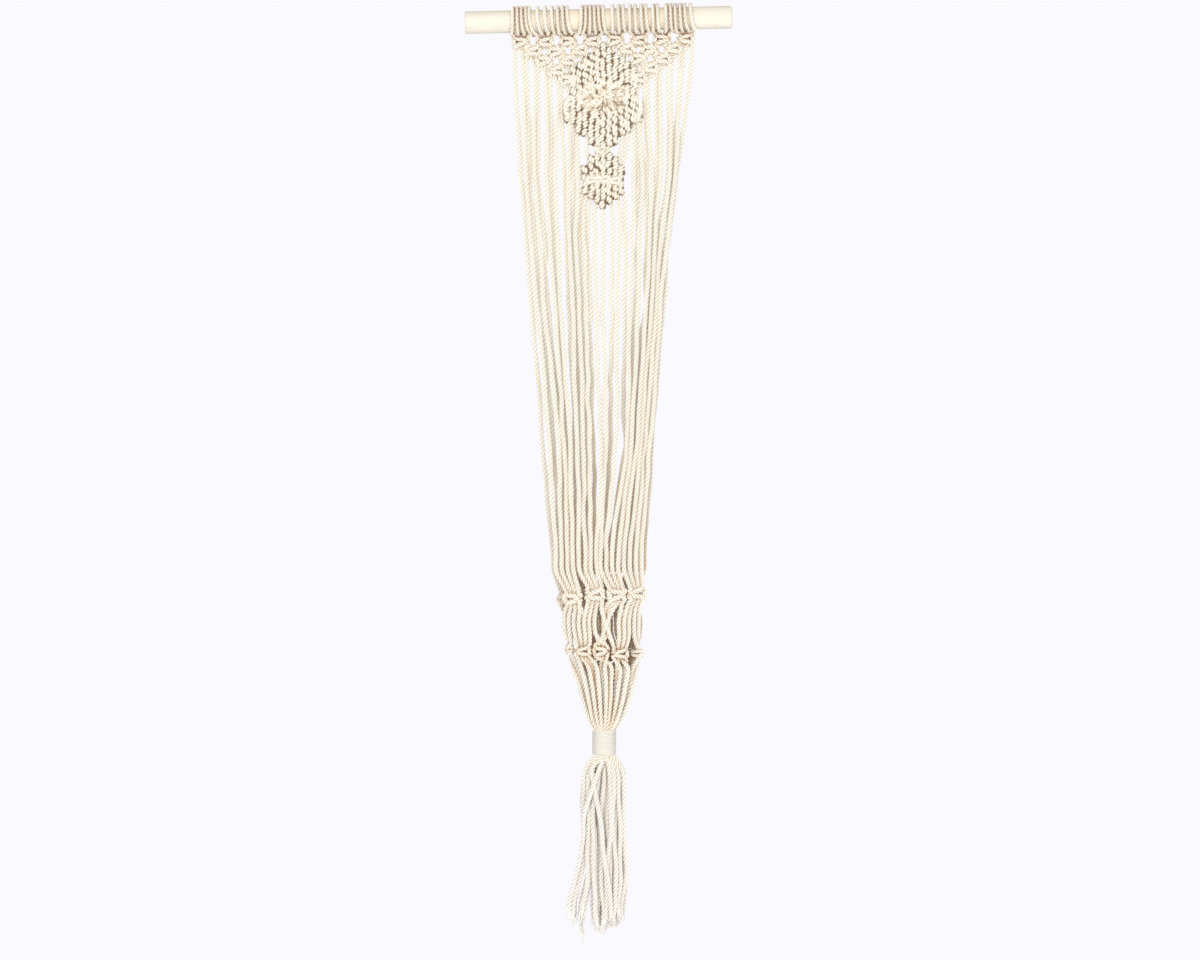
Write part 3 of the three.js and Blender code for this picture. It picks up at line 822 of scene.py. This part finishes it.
def fray(surface, path):
    """The three plies and loose fibres at the end of a strand."""
    end = path[-1]
    down = path[-1] - path[-6]
    down = down / np.linalg.norm(down)
    side = np.cross(down, FRONT)
    side = side / np.linalg.norm(side)
    front = np.cross(side, down)
    turn = rng.uniform(0, FULL_TURN)
    for k in range(PLIES):
        angle = turn + k * FULL_TURN / PLIES
        out = math.cos(angle) * side + math.sin(angle) * front
        length = rng.uniform(*PLY_LENGTH)
        points = [end - down * PLY_START + out * PLY_OUT]
        for share, least, most in FRAYED_POINTS:
            points.append(end + down * length * share + out * rng.uniform(least, most))
        surface.thread(points, *FRAYED_PLY)
        for _ in range(FIBRES_A_PLY):
            away = out * rng.uniform(*FIBRE_OUT)
            away = away + side * rng.normal(0, FIBRE_SPREAD) + front * rng.normal(0, FIBRE_SPREAD)
            tip = end + down * (length + rng.uniform(*FIBRE_EXTRA)) + away * 1.6
            surface.thread([points[1], points[2] + away * 0.4, tip], *FIBRE)


# Medallions: hitches in rows along carrier cords, as small bulges on the front and the back

COLUMN_PITCH = 6.4
ROW_PITCH = 7.5
FIRST_ROW = 0.45 * ROW_PITCH
LAST_ROW = 0.2 * ROW_PITCH
HITCH = {"length": 7.1, "out": 4.0, "radius": 3.3, "tilt": 0.45}
# Unevenness of the hitches: spreads of tilt and place, and ranges of length, height and radius
HITCH_SPREAD = {"tilt": 0.15, "x": 0.7, "z": 0.6}
HITCH_RANGE = {"length": (0.92, 1.08), "out": (0.88, 1.12), "radius": (0.92, 1.06)}
# Distance from the middle lines where the hitches' tilt is full
TILT_REACH = 9
# Path of a hitch: shares of its length, its height and its radius
HITCH_PATH = (
    (-0.42, -0.4, 0.7), (-0.46, 0.3, 0.8), (-0.27, 0.85, 0.95), (0.0, 1.0, 1.0),
    (0.27, 0.85, 0.95), (0.46, 0.3, 0.8), (0.42, -0.4, 0.7),
)
# Radius, step between sections and sides
CARRIER = (2.6, 2.4, 8)
CARRIER_POINTS = 12
# Distance from the middle plane within which a strand gets painted shade, and the deepest painted shade
HITCH_SHADE = (5.5, 1.0)
BEAM_SHADE = (6.2, 0.75)
KNOT_SHADE = (7.2, 0.5)

# Columns of hitches, half-width of the carriers, and height of the middle
LARGE = {"columns": 13, "half_width": 36, "middle": -83.0}
SMALL = {"columns": 7, "half_width": 20, "middle": -174.0}
# Loop of cord at each side of the large medallion: x from its middle, z and y
SIDE_LOOP = (
    (28, -81, 0), (34, -83, -2.5), (38.8, -87.95, -3.2), (40, -95.1, -3.2),
    (38.5, -101.7, -2.8), (33, -105, -2), (28, -106, 0),
)
# Knots across the small medallion: x, z and y, and radius of their cord
SMALL_KNOTS = ((-12.0, -171.5, -4.0), (0.3, -171.0, -4.0), (12.0, -172.5, -4.0))
SMALL_KNOT_CORD = 1.95

# Sun of short strands in the large medallion: half its width and half its height
SUN = (25.5, 17.0)
SUN_RIM = 2.0
# Rings of beams in the sun: how many, and the shares of the sun's half-width where they start and end
SUNBEAMS = ((34, 0.8, 1.12), (30, 0.6, 0.92), (24, 0.4, 0.72), (15, 0.2, 0.5), (8, 0.02, 0.3))
# Path of a beam: share of its length from its middle, and height
BEAM_PATH = ((-0.5, -0.5), (-0.38, 2.2), (-0.1, 3.8), (0.2, 3.6), (0.4, 2.0), (0.5, -0.5))
BEAM_RADIUS = 2.3
BEAM_UNEVEN = 1.2


def large_top(x):
    return -26 - 0.8 * abs(x)


def large_side_top(x):
    """Top of the hitches, lower in the outermost columns."""
    return large_top(x) if abs(x) < 34 else -84 - 0.5 * (abs(x) - 34)


def large_bottom(x):
    return -142 + 0.82 * abs(x)


def small_top(x):
    return -141 - 0.42 * abs(x) - 1.3 * max(abs(x) - 13, 0)


def small_bottom(x):
    return -200 + 0.7 * abs(x)


def hitch(surface, x, z, tilt, out):
    """One bulge round a carrier cord, on the front where out is negative."""
    angle = tilt + rng.normal(0, HITCH_SPREAD["tilt"])
    along = np.array([math.sin(angle), 0.0, -math.cos(angle)]) * HITCH["length"]
    along = along * rng.uniform(*HITCH_RANGE["length"])
    shift_x, shift_z = rng.normal(0, HITCH_SPREAD["x"]), rng.normal(0, HITCH_SPREAD["z"])
    middle = np.array([NET_X + x + shift_x, 0.0, z + shift_z])
    bulge = np.array([0.0, out * HITCH["out"] * rng.uniform(*HITCH_RANGE["out"]), 0.0])
    radius = HITCH["radius"] * rng.uniform(*HITCH_RANGE["radius"])
    points = [middle + along * share + bulge * height for share, height, _ in HITCH_PATH]
    surface.rope(points, radius * np.array(HITCH_PATH)[:, 2], HITCH_SHADE)


def hitch_places(columns, top, bottom, middle):
    """Places and tilts of hitches that fill an outline and point at its middle."""
    for k in range(columns):
        x = (k - (columns - 1) / 2) * COLUMN_PITCH
        z = top(x) - FIRST_ROW
        while z > bottom(x) + LAST_ROW:
            sideways, upwards = np.clip(x / TILT_REACH, -1, 1), np.clip((z - middle) / TILT_REACH, -1, 1)
            yield x, z, -HITCH["tilt"] * sideways * upwards
            z -= ROW_PITCH


def carriers(surface, half, top, bottom):
    """Cords inside a medallion, two for each row of hitches, sloping down from the middle to each side."""
    slope = (top(half) - top(0)) / half
    for side in (-1, 1):
        level = top(0) - FIRST_ROW
        while level > bottom(0):
            places = [(x, level + slope * x) for x in np.linspace(0, half, CARRIER_POINTS)]
            inside = [(x, z) for x, z in places if bottom(x) + 1 < z < top(x) - 1]
            if len(inside) > 2:
                surface.thread([plane_point(side, x, z, 0.4 * math.sin(x)) for x, z in inside], *CARRIER)
                # Painted shade on the carrier by how deep it lies in the medallion
                surface.sink(*HITCH_SHADE)
            level -= ROW_PITCH / 2


def in_sun(x, z):
    """Whether a hitch would lie under the sun, but for a narrow rim."""
    return (x / (SUN[0] - SUN_RIM)) ** 2 + ((z - LARGE["middle"]) / (SUN[1] - SUN_RIM)) ** 2 < 1


def sun_way(angle):
    return np.array([math.cos(angle) * SUN[0], 0.0, math.sin(angle) * SUN[1]])


def sunbeam(surface, angle, inner, outer):
    """A short strand in the sun, pointing away from the centre or nearly so."""
    along = sun_way(angle + rng.normal(0, 0.2 / (0.3 + inner))) * (outer - inner)
    middle = plane_point(1, 0.0, LARGE["middle"]) + sun_way(angle) * (inner + outer) / 2
    rise = rng.uniform(-BEAM_UNEVEN, BEAM_UNEVEN)
    points = [middle + along * share + FRONT * (out + rise) for share, out in BEAM_PATH]
    surface.rope(points, BEAM_RADIUS, BEAM_SHADE)


def large_medallion(surface):
    for x, z, tilt in hitch_places(LARGE["columns"], large_side_top, large_bottom, LARGE["middle"]):
        if not in_sun(x, z):
            hitch(surface, x, z, tilt, -1)
        hitch(surface, x, z, -tilt, 1)
    carriers(surface, LARGE["half_width"], large_top, large_bottom)
    for side in (-1, 1):
        surface.rope([plane_point(side, *place) for place in SIDE_LOOP])
    for beams, inner, outer in SUNBEAMS:
        for k in range(beams):
            angle = FULL_TURN * (k + 0.5 + rng.uniform(-0.45, 0.45)) / beams
            sunbeam(surface, angle, inner, outer * rng.uniform(0.92, 1.08))


def small_medallion(surface):
    for x, z, tilt in hitch_places(SMALL["columns"], small_top, small_bottom, SMALL["middle"]):
        hitch(surface, x, z, tilt, -1)
        hitch(surface, x, z, -tilt, 1)
    carriers(surface, SMALL["half_width"], small_top, small_bottom)
    for place in SMALL_KNOTS:
        for points in square_knot(plane_point(1, *place), ALONG_X, SMALL_KNOT, mirrored=place[0] > 0):
            surface.rope(points, SMALL_KNOT_CORD, KNOT_SHADE)


# Strands between the medallions at the left and the right: where each leaves and arrives, and its bow
LINKS = {
    -1: ((2.0, 2.0, 1.0), (4.6, 5.0, 0.9), (7.0, 8.0, 0.88), (17.0, 15.0, 1.1)),
    1: ((2.4, 2.2, 1.0), (6.0, 6.4, 0.9), (20.5, 15.5, 1.06), (26.5, 19.5, 1.07)),
}


def links(surface, side):
    for leaves, arrives, bow in LINKS[side]:
        top, end = large_bottom(leaves), small_top(arrives)
        surface.rope([
            plane_point(side, leaves, top + 6),
            plane_point(side, leaves, top - 1, -0.8),
            plane_point(side, mix(leaves, arrives, 0.5) * bow, mix(top, end, 0.55), -0.8),
            plane_point(side, arrives, end - 5),
        ])


# Materials


def connect(tree, made, inputs):
    """Links a node's inputs to outputs, or gives them plain values."""
    for key, value in inputs.items():
        if hasattr(value, "links"):
            tree.links.new(value, made.inputs[key])
        else:
            made.inputs[key].default_value = value


def node(tree, kind, inputs=None, **settings):
    made = tree.nodes.new(kind)
    for key, value in settings.items():
        setattr(made, key, value)
    connect(tree, made, inputs or {})
    return made


def new_material(name):
    material = bpy.data.materials.new(name)
    material.use_nodes = True
    tree = material.node_tree
    tree.nodes.clear()
    shader = node(tree, "ShaderNodeBsdfPrincipled")
    node(tree, "ShaderNodeOutputMaterial", {"Surface": shader.outputs["BSDF"]})
    return material, tree, shader


def mixed(tree, factor, a, b, blend_type="MIX"):
    inputs = {0: factor, 6: a, 7: b}
    return node(tree, "ShaderNodeMix", inputs, data_type="RGBA", blend_type=blend_type).outputs[2]


def point_value(tree, name, output="Fac"):
    return node(tree, "ShaderNodeAttribute", attribute_name=name).outputs[output]


def stretched(tree, vector, scale, rotation=(0, 0, 0)):
    inputs = {"Vector": vector, "Scale": scale, "Rotation": rotation}
    return node(tree, "ShaderNodeMapping", inputs).outputs["Vector"]


def noise(tree, vector, scale, detail, roughness=0.5, distortion=0.0):
    inputs = {"Scale": scale, "Detail": detail, "Roughness": roughness, "Distortion": distortion}
    return node(tree, "ShaderNodeTexNoise", {"Vector": vector, **inputs}).outputs["Fac"]


def ranged(tree, value, low, high, to_low=0.0, to_high=1.0):
    """Maps a value between low and high to a new range."""
    inputs = {"Value": value, "From Min": low, "From Max": high, "To Min": to_low, "To Max": to_high}
    return node(tree, "ShaderNodeMapRange", inputs).outputs["Result"]


def maths(tree, operation, *values):
    return node(tree, "ShaderNodeMath", dict(enumerate(values)), operation=operation).outputs[0]


# Free ends are a little whiter than the cords above, and the painted shade in their grooves greyer, with a
# change between two heights in metres
FREE_ENDS = (0.9, 0.882, 0.848, 1)
FREE_END_GROOVE_SHADE = (0.52, 0.465, 0.405, 1)
FREE_END_HEIGHTS = (-0.77, -0.83)

# Painted shade, brown between strands that hang side by side and inside the pocket, and a little greyer
# between the hitches of a medallion: the values where each tint starts and is full, its greatest share, and
# the tint
CREVICE_TINTS = (
    (0.0, 0.4, 0.7, (0.655, 0.545, 0.42, 1)),
    (0.28, 0.62, 0.9, (0.56, 0.385, 0.24, 1)),
    (0.55, 1.0, 0.9, (0.2, 0.1, 0.05, 1)),
)
SUNK_TINTS = (
    (0.0, 0.5, 0.75, (0.67, 0.55, 0.405, 1)),
    (0.35, 1.0, 0.92, (0.19, 0.11, 0.052, 1)),
)


def tinted(tree, colour, attribute, tints):
    """Tints the colour in steps as a point value of the mesh rises."""
    value = point_value(tree, attribute)
    for start, full, most, tint in tints:
        colour = mixed(tree, ranged(tree, value, start, full, 0.0, most), colour, tint)
    return colour


def cotton(name, light, dark, deep, fibre):
    """Matt cotton: fibres along the plies, painted shade in grooves, gaps and medallion hollows, and slow
    changes of tone.
    """
    material, tree, shader = new_material(name)
    lay = point_value(tree, "lay", "Vector")
    fibres = noise(tree, stretched(tree, lay, (2.2, 2.2, 0.22)), fibre, 4.0, 0.65)
    place = node(tree, "ShaderNodeTexCoord").outputs["Object"]
    tone = mixed(tree, noise(tree, place, 18.0, 2.0), light, dark)
    height = node(tree, "ShaderNodeSeparateXYZ", {0: place}).outputs["Z"]
    free = ranged(tree, height, *FREE_END_HEIGHTS)
    tone = mixed(tree, free, tone, FREE_ENDS)
    toned = mixed(tree, 1.0, tone, ranged(tree, fibres, 0.3, 0.7, 0.9, 1.06), "MULTIPLY")
    # Painted shade in the grooves of the plies, in the deep colour
    depth = maths(tree, "POWER", point_value(tree, "groove"), 1.15)
    share = maths(tree, "MULTIPLY", depth, 0.8)
    grooved = mixed(tree, share, toned, mixed(tree, free, deep, FREE_END_GROOVE_SHADE))
    # Painted shade: brown in the gaps between strands and inside the pocket, then greyer in the hollows of
    # the medallions
    shaded = tinted(tree, grooved, "crevice", CREVICE_TINTS)
    bump = node(tree, "ShaderNodeBump", {"Height": fibres, "Strength": 0.35, "Distance": 0.0004})
    connect(tree, shader, {
        "Base Color": tinted(tree, shaded, "sunk", SUNK_TINTS),
        "Normal": bump.outputs["Normal"],
        "Roughness": 0.92,
        "Specular IOR Level": 0.2,
        "Sheen Weight": 0.15,
        "Sheen Roughness": 0.5,
    })
    return material


def cord_cotton():
    # deep is the colour of the painted shade in the grooves
    light, dark, deep = (0.92, 0.905, 0.835, 1), (0.89, 0.868, 0.787, 1), (0.55, 0.475, 0.38, 1)
    return cotton("cord_cotton", light, dark, deep, fibre=1.6)


def thread_cotton():
    # deep is the colour of the painted shade in the grooves
    light, dark, deep = (0.82, 0.795, 0.735, 1), (0.79, 0.76, 0.7, 1), (0.6, 0.54, 0.46, 1)
    return cotton("thread_cotton", light, dark, deep, fibre=3.0)


GRAIN_LIGHT = (0.77, 0.735, 0.65, 1)
GRAIN_DARK = (0.71, 0.66, 0.56, 1)
SHADE_UNDER_CORDS = (0.74, 0.665, 0.53, 1)
# Painted shade under the cords on the dowel, in metres: their middle, and half-widths where the darker,
# yellower tone starts and is full
COVERED = {"middle": 0.003, "start": 0.1, "full": 0.093}


def pale_wood():
    """Bare sanded softwood: long grain along the dowel and fine pores, with a darker, yellower painted shade
    under the cords.
    """
    material, tree, shader = new_material("pale_wood")
    place = node(tree, "ShaderNodeTexCoord").outputs["Object"]
    along = stretched(tree, place, (4.0, 90.0, 90.0), (0, DOWEL["tilt"], 0))
    grain = noise(tree, along, 1.0, 6.0, 0.6, 0.6)
    pores = noise(tree, stretched(tree, place, (60.0, 900.0, 900.0)), 1.0, 3.0)
    tone = mixed(tree, ranged(tree, grain, 0.35, 0.68), GRAIN_LIGHT, GRAIN_DARK)
    speckled = mixed(tree, 1.0, tone, ranged(tree, pores, 0.3, 0.55, 0.9, 1.0), "MULTIPLY")
    x = node(tree, "ShaderNodeSeparateXYZ", {0: place}).outputs["X"]
    away = maths(tree, "ABSOLUTE", maths(tree, "SUBTRACT", x, COVERED["middle"]))
    covered = ranged(tree, away, COVERED["start"], COVERED["full"])
    bump = node(tree, "ShaderNodeBump", {"Height": pores, "Strength": 0.2, "Distance": 0.0003})
    connect(tree, shader, {
        "Base Color": mixed(tree, covered, speckled, SHADE_UNDER_CORDS),
        "Normal": bump.outputs["Normal"],
        "Roughness": 0.6,
        "Specular IOR Level": 0.3,
    })
    return material


# Pieces

LARGE_MEDALLION_CORD = 7
SMALL_MEDALLION_CORD = 8
# Cords that carry the strands between the medallions, and the side of each
LINK_CORDS = {6: -1, 9: 1}
BINDING = {"turns": 13, "steps_a_turn": 24, "radius": 1.2, "margin": 1.1, "step": 1.6, "sides": 8}
# Unevenness of the radius: how much, and how fast it changes along the thread or how long its wave is
BINDING_UNEVEN = (0.15, 0.37)
DOWEL_UNEVEN = (0.05, 17)
# Rounded end of the dowel: distance from the end, and how much smaller the radius is
DOWEL_END = ((0.0, 1.2), (0.3, 0.6), (1.0, 0.1))
DOWEL_SIDES = 96
DOWEL_SECTIONS = 60


def doubled_cord(surface, cord):
    """Both strands of a cord, from the bar behind the dowel to their frayed ends."""
    strands = (2 * cord, 2 * cord + 1)
    left, right = [upper_path(strand) for strand in strands]
    bar = [mix(left[0], right[0], 0.5) + BAR]
    if strands[0] in MEDALLION_STRANDS:
        surface.rope(left[::-1] + bar + right)
        for strand in strands:
            fray(surface, surface.rope(hanging_path(strand) + lower_path(strand) + tassel_path(strand)))
        return
    hung = [hanging_path(strand) + lower_path(strand) for strand in strands]
    tails = [tassel_path(strand) for strand in strands]
    left, right = left + hung[0] + tails[0], right + hung[1] + tails[1]
    path = surface.rope(left[::-1] + bar + right)
    fray(surface, path[::-1])
    fray(surface, path)


def make_cords():
    cords = []
    for cord in range(STRANDS // 2):
        surface = Surface()
        doubled_cord(surface, cord)
        if cord == LARGE_MEDALLION_CORD:
            large_medallion(surface)
        if cord == SMALL_MEDALLION_CORD:
            small_medallion(surface)
        if cord in LINK_CORDS:
            links(surface, LINK_CORDS[cord])
        cords.append(surface)
    shade_crevices(cords)
    material = cord_cotton()
    for number, surface in enumerate(cords, 1):
        surface.make_piece(f"cord_{number:02d}", material, "cotton_cord", ("net", "tassel"))


def make_binding():
    """One thread wound round the neck."""
    steps = BINDING["turns"] * BINDING["steps_a_turn"]
    bottom, top = NECK["bottom"] + BINDING["margin"], NECK["top"] - BINDING["margin"]
    most, change = BINDING_UNEVEN
    winding = []
    for k in range(steps + 1):
        angle = FULL_TURN * k / BINDING["steps_a_turn"]
        r = NECK["radius"] - BINDING["radius"] + most * math.sin(k * change)
        winding.append((NECK["x"] + r * math.cos(angle), r * math.sin(angle), mix(bottom, top, k / steps)))
    surface = Surface()
    surface.thread(winding, BINDING["radius"], BINDING["step"], BINDING["sides"])
    surface.make_piece("binding_turns", thread_cotton(), "binding_thread", ("binding",))


def dowel_profile():
    """Places along the dowel from end to end, and its radius at each."""
    half, radius = DOWEL["length"] / 2, DOWEL["radius"]
    most, wave = DOWEL_UNEVEN
    end = [(-half, 0.2)] + [(-half + inset, radius - less) for inset, less in DOWEL_END]
    body = [(x, radius + most * math.sin(x / wave)) for x in np.linspace(-half + 2, half - 2, DOWEL_SECTIONS)]
    return np.array(end + body + [(-x, r) for x, r in reversed(end)])


def make_dowel():
    """A turned stick, tilted as it hangs."""
    along, radius = dowel_profile().T[..., None]
    around = np.linspace(0, FULL_TURN, DOWEL_SIDES, endpoint=False)
    x, y, z = np.broadcast_arrays(along, radius * np.cos(around), radius * np.sin(around))
    cosine, sine = math.cos(DOWEL["tilt"]), math.sin(DOWEL["tilt"])
    rings = np.stack([x * cosine - z * sine, y, x * sine + z * cosine], axis=-1)
    points = np.vstack([rings.reshape(-1, 3), rings[0].mean(axis=0), rings[-1].mean(axis=0)])
    quads, caps = tube_faces(len(rings), DOWEL_SIDES)
    surface = Surface()
    surface.add(points, quads[:, [0, 3, 2, 1]], caps[:, [1, 0, 2]], points, np.zeros(len(points)))
    surface.make_piece("dowel_rod", pale_wood(), "dowel_wood", ("dowel",))


# Stage, light and camera, in metres

AMBIENT = {"Color": (1.0, 0.985, 0.96, 1.0), "Strength": 0.68}
PAPER = {"Color": (0.956, 0.947, 1.0, 1.0), "Strength": 1.0}
FLOOR = {"Base Color": (0.86, 0.86, 0.9, 1.0), "Roughness": 0.9}
FLOOR_HALF, FLOOR_HEIGHT = 1.4, -1.25
# Name, place, the point it shines at, size, power and colour
LIGHTS = (
    ("key", (-0.5, -4.0, 0.0), (0, 0, -0.47), 2.0, 96, (1.0, 0.985, 0.95)),
    ("fill", (1.2, -3.7, -0.9), (0, 0, -0.5), 1.8, 35, (1.0, 0.98, 0.95)),
    ("behind", (0.9, 3.4, 0.2), (0, 0, -0.5), 1.8, 72, (1.0, 0.985, 0.96)),
)
CAMERA_PLACE = (0.0016, -3.5, -0.4919)
CAMERA = {"sensor_width": 36.0, "lens": 98.2, "clip_end": 50.0}


def set_world(scene):
    """A bluish white backdrop for the camera, and warmer light from all sides for the object."""
    scene.view_settings.view_transform = "Standard"
    scene.view_settings.look = "None"
    scene.world = bpy.data.worlds.new("studio")
    scene.world.use_nodes = True
    tree = scene.world.node_tree
    ambient = tree.nodes["Background"]
    connect(tree, ambient, AMBIENT)
    paper = node(tree, "ShaderNodeBackground", PAPER)
    seen = node(tree, "ShaderNodeLightPath").outputs["Is Camera Ray"]
    both = node(tree, "ShaderNodeMixShader", {0: seen, 1: ambient.outputs[0], 2: paper.outputs[0]})
    connect(tree, tree.nodes["World Output"], {"Surface": both.outputs[0]})


def add_floor(scene):
    signs = ((-1, -1), (1, -1), (1, 1), (-1, 1))
    corners = [(x * FLOOR_HALF, y * FLOOR_HALF, FLOOR_HEIGHT) for x, y in signs]
    mesh = bpy.data.meshes.new("floor")
    mesh.from_pydata(corners, [], [(0, 1, 2, 3)])
    material, tree, shader = new_material("pale_floor")
    connect(tree, shader, FLOOR)
    mesh.materials.append(material)
    floor = bpy.data.objects.new("floor", mesh)
    scene.collection.objects.link(floor)


def add_light(scene, name, place, target, size, power, colour):
    data = bpy.data.lights.new(name, "AREA")
    data.shape, data.size, data.energy, data.color = "DISK", size, power, colour
    lamp = bpy.data.objects.new(name, data)
    lamp.location = place
    direction = np.subtract(target, place)
    yaw = math.atan2(direction[0], -direction[1])
    pitch = math.atan2(math.hypot(direction[0], direction[1]), -direction[2])
    lamp.rotation_euler = (pitch, 0, math.pi + yaw)
    scene.collection.objects.link(lamp)


def add_camera(scene):
    data = bpy.data.cameras.new("camera")
    for key, value in CAMERA.items():
        setattr(data, key, value)
    camera = bpy.data.objects.new("camera", data)
    camera.location = CAMERA_PLACE
    camera.rotation_euler = (math.pi / 2, 0, 0)
    scene.collection.objects.link(camera)
    scene.camera = camera


make_cords()
make_binding()
make_dowel()
set_world(bpy.context.scene)
add_floor(bpy.context.scene)
for light in LIGHTS:
    add_light(bpy.context.scene, *light)
add_camera(bpy.context.scene)
